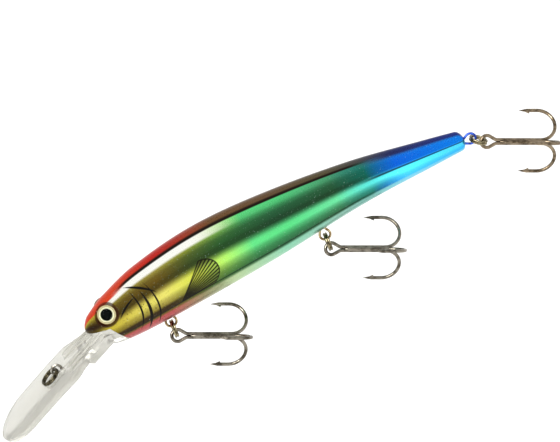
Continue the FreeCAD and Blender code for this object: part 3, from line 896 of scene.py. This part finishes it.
HANGER_WIRE = 0.35
HANGER_EYE = 1.5
HANGER_HALF_GAP = 0.39
HANGER_RISE = 6.0


def hanger_path():
    """Closed path of a wire with an eye at each end, along +X from the first."""
    near = eye_bend(HANGER_EYE, HANGER_HALF_GAP)
    far = [Vector((HANGER_RISE - p.x, 0, p.z)) for p in reversed(near)]
    upper = near + far
    return upper + flipped(upper)[1:-1]


EYES = {"front": place(22.3, 0, -10.5879), "rear": place(70.9, 0, -7.4380),
        "tail": place(118.4, 0, -0.7)}


def wire_finish(name, light, dark, metal, rough):
    """Bright wire with faint drawing marks in its bump, and dark spots in its colour that are
    partly dull spots and partly painted dark reflection.
    """
    finish = Finish(name)
    spots = finish.noise(900, 3.0, 0.6)
    # Random dark spots: partly dull spots, partly painted dark reflection.
    dull_spot_and_reflection = finish.step(spots, 0.42, 0.62)
    colour = finish.blend(dull_spot_and_reflection, linear(light), linear(dark))
    return finish.set(Base_Color=colour, Metallic=metal, Roughness=rough + spots * 0.16,
                      Normal=finish.bump(finish.noise(4000, 2.0), 0.25, 0.00004))


brass_wire = wire_finish("hanger wire", "c0ad84", "7a6240", 1.0, 0.16)
blue_wire = wire_finish("painted wire", "2a52b8", "12206a", 0.35, 0.18)
for name, wire in (("front", brass_wire), ("rear", brass_wire), ("tail", blue_wire)):
    mesh = wire_mesh([(hanger_path(), [HANGER_WIRE] * 200, True)], wire)
    up = Matrix.Rotation(math.radians(180 if name == "tail" else -90), 4, "Y")
    mesh.transform(Matrix.Translation(EYES[name]) @ up)
    finish_piece(name + "_hanger", mesh, wire, "lure_body", [name + "_hook_hanger"], 60)

# %% Line tie
TIE_MEAN = 1.425
TIE_WIRE = 0.375
TIE_SLOPE = math.radians(23.462)
lip_forward = Vector((-math.cos(TIE_SLOPE), 0, -math.sin(TIE_SLOPE)))
lip_up = Vector((-math.sin(TIE_SLOPE), 0, math.cos(TIE_SLOPE)))
leg_start = -lip_up * 1.875 - lip_forward * (TIE_MEAN * 0.55)
leg = [leg_start - lip_forward * (10.0 * i / 12) for i in range(13)]
foot = [leg[-1] + Vector((0, 2.0 - 4.0 * i / 8, 0)) for i in range(9)]
tie_loop = arc_run((0, 0), TIE_MEAN, 0, 351, 39)
steel_tie = wire_finish("line tie wire", "b8b4aa", "77726a", 1.0, 0.18)
tie = wire_mesh([(tie_loop, [TIE_WIRE] * 40, True), (leg, [TIE_WIRE] * 13, False),
                 (foot, [TIE_WIRE] * 9, False)], steel_tie)
finish_piece("line_tie", tie, steel_tie, "lure_body", ["line_tie_wire"], 60)

# %% [markdown]
# ## Split rings
# A split ring is two flat turns of spring wire with a short jog where one turn
# climbs onto the other. That is a rule, so a second Geometry Nodes tree makes
# it: a spiral curve with no rise, whose points are lifted by a smooth step in
# the middle of its length, swept with a round wire.

# %% Geometry Nodes for split rings
ring_tree, made = new_tree("split ring", {"Ring Radius": "Float", "Wire Radius": "Float",
                                          "Coil Pitch": "Float", "Turns": "Float",
                                          "Finish": "Material"})
coil = tree_node(ring_tree, "GeometryNodeCurveSpiral",
                 {"Resolution": 56, "Rotations": made["Turns"], "Height": 0.0,
                  "Start Radius": made["Ring Radius"], "End Radius": made["Ring Radius"]})
along = tree_node(ring_tree, "GeometryNodeSplineParameter")
climb = tree_node(ring_tree, "ShaderNodeMapRange",
                  {0: along, 1: 0.455, 2: 0.525, 3: -0.5, 4: 0.5},
                  {"interpolation_type": "SMOOTHSTEP"})
lift = tree_node(ring_tree, "ShaderNodeMath", {0: climb, 1: made["Coil Pitch"]},
                 {"operation": "MULTIPLY"})
raise_by = tree_node(ring_tree, "ShaderNodeCombineXYZ", {2: lift})
lifted = tree_node(ring_tree, "GeometryNodeSetPosition", {"Geometry": coil, "Offset": raise_by})
section = tree_node(ring_tree, "GeometryNodeCurvePrimitiveCircle",
                    {"Resolution": 16, "Radius": made["Wire Radius"]})
wound = tree_node(ring_tree, "GeometryNodeCurveToMesh",
                  {"Curve": lifted, "Profile Curve": section, "Fill Caps": True})
end_tree(ring_tree, wound, made["Finish"])


def split_ring(name, radius, centre, normal, start, body, finish):
    """A split ring round a centre, its ends turned to the start angle."""
    seed = new_piece("ring", bpy.data.meshes.new("ring"))
    mesh = run_tree(seed, ring_tree, {"Ring Radius": radius * MM, "Wire Radius": 0.325 * MM,
                                      "Coil Pitch": 0.6 * MM, "Turns": 1.93, "Finish": finish})
    side = Vector((0, 1, 0)) if abs(normal.y) < 0.9 else Vector((1, 0, 0))
    across = side.cross(normal).normalized()
    turn = Matrix((across, normal.cross(across), normal)).transposed().to_4x4()
    spin = Matrix.Rotation(math.radians(start), 4, "Z")
    mesh.transform(Matrix.Translation(centre) @ turn @ spin)
    return finish_piece(name, mesh, finish, body, [name.replace("_coil", "")], 50)


LINKS = {"front": (-0.069756, -0.997564), "rear": (-0.069756, -0.997564),
         "tail": (0.777146, -0.62932)}
HOOK_RING = 2.325
TIE_RING = 2.675
ring_dark = wire_finish("ring steel", "9a9072", "4a4230", 1.0, 0.14)
tie_dark = wire_finish("line tie ring", "5c5644", "1c1a12", 1.0, 0.2)
for name, (x, z) in LINKS.items():
    link = Vector((x, 0, z))
    split_ring(name + "_split_ring_coil", HOOK_RING, EYES[name] + link * (HOOK_RING * MM),
               link.cross(Vector((0, 1, 0))), 100, name + "_ring", ring_dark)
split_ring("line_tie_ring_coil", TIE_RING, lip_forward * (TIE_RING * MM), lip_up, 200,
           "line_ring", tie_dark)

# %% [markdown]
# ## Treble hooks
# A treble is made from two wires: one is bent into the eye and two of the
# prongs, and the third prong is brazed into the groove between their shanks. The
# bend is round, each prong ends in a long ground point, and a small barb is
# sliced up from its inner side.

# %% Hook paths
HOOK_WIRE = 0.5
HOOK_EYE = 1.65
SHANK_GAP = 0.48
SHANK_END = 15.1
SINGLE_START = 3.6
HOOK_BEND = 4.55
PRONG_LENGTH = 5.3
POINT_LENGTH = 2.4


def prong_path(start, way):
    """Bend, prong and point from a shank's end towards the unit vector way."""
    points, radii = [], []
    along = Vector((1, 0, 0))
    middle = start + way * HOOK_BEND
    for i in range(1, 33):
        turn = math.pi * i / 32
        points.append(middle - way * (HOOK_BEND * math.cos(turn))
                      + along * (HOOK_BEND * math.sin(turn)))
        radii.append(HOOK_WIRE)
    over = points[-1]
    for i in range(1, 25):
        run = PRONG_LENGTH * i / 24
        left = PRONG_LENGTH - run
        taper = min(left / POINT_LENGTH, 1.0) ** 0.85
        points.append(over - along * run - way * (0.05 * (run / PRONG_LENGTH) ** 2))
        radii.append(max(HOOK_WIRE * taper, 0.03))
    return points, radii


def barb(start, way):
    """Wedge sliced up from the inner side of the prong, pointing to the bend."""
    tip = start + way * (2 * HOOK_BEND) - Vector((PRONG_LENGTH, 0, 0))
    root = tip + Vector((1.5, 0, 0)) - way * 0.2
    heel = tip + Vector((3.1, 0, 0)) - way * 0.42
    peak = tip + Vector((2.9, 0, 0)) - way * 0.92
    across = Vector((1, 0, 0)).cross(way)
    outline = [root, heel, peak]
    points = [p * MM + across * (s * 0.17 * MM) for s in (-1, 1) for p in outline]
    faces = [(0, 1, 2), (5, 4, 3), (0, 3, 4, 1), (1, 4, 5, 2), (2, 5, 3, 0)]
    return mesh_of("barb", points, faces)


def joined(meshes):
    """One mesh that holds all the parts of a piece."""
    work = bmesh.new()
    for mesh in meshes:
        work.from_mesh(mesh)
    out = bpy.data.meshes.new("joined")
    work.to_mesh(out)
    work.free()
    return out


def treble_double(material):
    way = Vector((0, 0.5, math.sqrt(0.75)))
    loop = eye_bend(HOOK_EYE, SHANK_GAP)
    shank = [Vector((loop[-1].x + (SHANK_END - loop[-1].x) * i / 20, 0, SHANK_GAP))
             for i in range(1, 21)]
    prong, radii = prong_path(shank[-1], way)
    half = loop + shank + prong
    sizes = [HOOK_WIRE] * (len(loop) + len(shank)) + radii
    other = flipped(half)[:-1]
    wire = wire_mesh([(other + half, sizes[::-1][:-1] + sizes, False)], material)
    mirror = Vector((0, 0.5, -math.sqrt(0.75)))
    low = Vector((SHANK_END, 0, -SHANK_GAP))
    return joined([wire, barb(shank[-1], way), barb(low, mirror)])


def treble_single(material):
    groove = math.sqrt(3) * SHANK_GAP
    length = SHANK_END - SINGLE_START
    shank = [Vector((SINGLE_START + length * i / 20, -groove, 0)) for i in range(21)]
    start = [0.12, 0.3, 0.44] + [HOOK_WIRE] * 18
    prong, radii = prong_path(shank[-1], Vector((0, -1, 0)))
    wire = wire_mesh([(shank + prong, start + radii, False)], material)
    seams = []
    for y, z in ((-groove * 0.5, 0.46), (-groove * 0.5, -0.46), (0.28, 0.0)):
        seam = [Vector((4.4 + 9.6 * i / 16, y, z)) for i in range(17)]
        swell = [0.26 * math.sin(math.pi * (i + 0.5) / 17) ** 0.3 for i in range(17)]
        seams.append((seam, swell, False))
    return joined([wire, wire_mesh(seams, material, 10), barb(shank[-1], Vector((0, -1, 0)))])


def hook_finish(name, light, dark):
    """Bronzed nickel, darker and browner in random patches that are partly painted dark reflection.
    """
    finish = Finish(name)
    patch = finish.noise(420, 4.0, 0.65)
    # Random dark patches: partly a browner tone, partly painted dark reflection.
    dark_patch_and_reflection = finish.step(patch, 0.4, 0.64)
    colour = finish.blend(dark_patch_and_reflection, linear(light), linear(dark))
    drawn = finish.noise(3600, 2.0)
    return finish.set(Base_Color=colour, Metallic=1.0, Roughness=0.1 + patch * 0.16,
                      Normal=finish.bump(drawn, 0.3, 0.00004))


HOOK_DROP = 28.2
HOOK_ROLL = 17.7
hook_steel = hook_finish("hook steel", "857f73", "4a443a")
hook_bronze = hook_finish("hook bronze", "8c7d68", "4e4232")
for name, (x, z) in LINKS.items():
    finish = hook_bronze if name == "tail" else hook_steel
    pivot = EYES[name] + Vector((x, 0, z)) * (2 * HOOK_RING * MM)
    hang = (Matrix.Translation(pivot) @ Matrix.Rotation(math.radians(HOOK_DROP), 4, "Y")
            @ Matrix.Rotation(math.radians(-HOOK_ROLL), 4, "X")
            @ Matrix.Translation(Vector((0.2 * MM, 0, 0))))
    for part, mesh in (("double", treble_double(finish)), ("single", treble_single(finish))):
        mesh.transform(hang)
        finish_piece(f"{name}_hook_{part}", mesh, finish, name + "_treble",
                     [f"{name}_treble_{part}"], 40)

# %% [markdown]
# ## Eyes
# The eye is a printed disc under a clear lens, set in a round seat. The print is
# drawn from the distance to the disc's middle, which a UV map carries, so both
# eyes share one finish.

# %% Eye discs and lenses
def eye_print():
    finish = Finish("eye print")
    spot = finish.add("UVMap", {"uv_map": "disc"})
    out, _, _ = finish.split(spot)
    stops = [(0.0, "020403"), (0.58, "040806"), (0.62, "3a3c26"), (0.66, "d6d6b4"),
             (0.78, "c6c69e"), (0.83, "6e6038"), (0.88, "ccc498"), (0.94, "a4966a"),
             (1.0, "4a3018")]
    ramp = finish.add("ValToRGB", {"stops": [(p, linear(c)) for p, c in stops]}, {0: out})
    fleck = finish.noise(1500, 3.0)
    speckle = finish.step(fleck, 0.55, 0.8) * finish.step(out, 0.6, 0.66) * 0.35
    colour = finish.blend(speckle, ramp, linear("b8a878"))
    return finish.set(Base_Color=colour, Roughness=0.5 + fleck * 0.1, Specular_IOR_Level=0.0)


def disc_chart(mesh, matrix, radius):
    layer = mesh.uv_layers.new(name="disc")
    inverse = matrix.inverted()
    for loop in mesh.loops:
        spot = inverse @ mesh.vertices[loop.vertex_index].co / MM
        share = math.hypot(spot.x, spot.y) / radius
        layer.uv[loop.index].vector = (share, math.atan2(spot.y, spot.x) / math.tau + 0.5)


eye_ink = eye_print()
lens = clear_finish("eye lens", "ffffff", 0.0, 0.0, 1.0, 1.08)
dome_height = 0.95
dome_sphere = (EYE_RADIUS**2 + dome_height**2) / (2 * dome_height)
for side, way in (("left", -1), ("right", 1)):
    matrix = eye_matrix(way, -EYE_DEPTH)
    rounds = [(0.05 + (EYE_RADIUS - 0.07) * i / 30, 0.3) for i in range(31)]
    foil = turned("foil", [(EYE_RADIUS - 0.02, 0.0)] + rounds[::-1], matrix)
    disc_chart(foil, matrix, EYE_RADIUS)
    finish_piece("eye_print_" + side, foil, eye_ink, "lure_body",
                 ["eye_foil_" + side], 30)
    profile_points = [(0.05, 0.31), (EYE_RADIUS - 0.02, 0.31)]
    for i in range(25):
        radius = (EYE_RADIUS - 0.02) * math.cos(math.pi / 2 * i / 25)
        height = 0.3 + dome_height - dome_sphere + math.sqrt(dome_sphere**2 - radius**2)
        profile_points.append((max(radius, 0.03), max(height, 0.33)))
    dome = turned("dome", profile_points, matrix)
    finish_piece("eye_lens_" + side, dome, lens, "lure_body", ["eye_dome_" + side], 60)

# %% [markdown]
# ## Weights and rattles
# Lead slugs and loose steel balls lie inside the shells, out of sight. Their
# solids are already right, so they stay and only get their finishes.

# %% Inner parts
lead = wire_finish("ballast lead", "8a8c92", "5c5e64", 0.8, 0.45)
ball_steel = wire_finish("rattle steel", "d6d7da", "b0b2b8", 1.0, 0.08)
for name, node in nodes.items():
    if name.startswith("ballast") or name.startswith("rattle"):
        node.data.materials.clear()
        node.data.materials.append(lead if name.startswith("ballast") else ball_steel)
print("inner parts:", [n for n in nodes if n.startswith(("ballast", "rattle"))])

# %% [markdown]
# ## Floor and light
# The stage is a plain pale floor well below the hooks, so that they can hang
# down. The world is an even white that glass and metal can reflect. Three soft
# lamps, above, in front and behind, fill the shadows. They don't show in glossy
# surfaces. A fourth lamp lights only the wires, rings and hooks, to give them
# their glints.

# %% Stage
def floor_finish():
    finish = Finish("floor")
    grain = finish.noise(14, 3.0)
    colour = finish.blend(grain * 0.4, linear("fbfbfa"), linear("f6f6f5"))
    return finish.set(Base_Color=colour, Roughness=0.9)


FLOOR_DROP = 0.06
size = 3.0
floor_mesh = bpy.data.meshes.new("floor")
floor_mesh.from_pydata([(-size, -size, -FLOOR_DROP), (size, -size, -FLOOR_DROP),
                        (size, size, -FLOOR_DROP), (-size, size, -FLOOR_DROP)], [], [(0, 1, 2, 3)])
floor = new_piece("floor", floor_mesh)
floor_mesh.materials.append(floor_finish())


def lamp(name, spot, target, width, height, power):
    data = bpy.data.lights.new(name, "AREA")
    data.shape = "RECTANGLE"
    data.size = width
    data.size_y = height
    data.energy = power
    light = bpy.data.objects.new(name, data)
    bpy.context.scene.collection.objects.link(light)
    light.location = spot
    light.rotation_euler = (Vector(target) - Vector(spot)).to_track_quat("-Z", "Y").to_euler()
    return light


for fill in (lamp("strip above", (0.06, -0.16, 0.55), (0.06, 0, 0), 0.9, 0.5, 2.6),
             lamp("soft front", (-0.3, -0.8, 0.35), (0.05, 0, 0), 0.6, 0.6, 5.0),
             lamp("soft back", (0.35, 0.7, 0.5), (0.06, 0, 0), 0.6, 0.6, 3.0)):
    fill.visible_glossy = False
bright_metal = bpy.data.collections.new("bright metal")
for piece in list(bpy.data.objects):
    if piece.name.endswith(("_hanger", "_coil", "_double", "_single", "line_tie")):
        bright_metal.objects.link(piece)
glint = lamp("glint", (-0.1, -0.45, 0.5), (0.05, 0, 0), 0.5, 0.4, 7.0)
glint.light_linking.receiver_collection = bright_metal

world = bpy.data.worlds.new("white room")
bpy.context.scene.world = world
world.use_nodes = True
room = world.node_tree.nodes["Background"]
room.inputs["Color"].default_value = (1, 1, 1, 1)
path = world.node_tree.nodes.new("ShaderNodeLightPath")
level_node = world.node_tree.nodes.new("ShaderNodeMapRange")
level_node.inputs["To Min"].default_value = 0.62
level_node.inputs["To Max"].default_value = 1.0
seen = path.outputs["Is Camera Ray"]
for ray in ("Is Glossy Ray", "Is Transmission Ray"):
    either = world.node_tree.nodes.new("ShaderNodeMath")
    either.operation = "MAXIMUM"
    world.node_tree.links.new(seen, either.inputs[0])
    world.node_tree.links.new(path.outputs[ray], either.inputs[1])
    seen = either.outputs[0]
world.node_tree.links.new(seen, level_node.inputs["Value"])
world.node_tree.links.new(level_node.outputs[0], room.inputs["Strength"])
bpy.context.scene.view_settings.view_transform = "Standard"
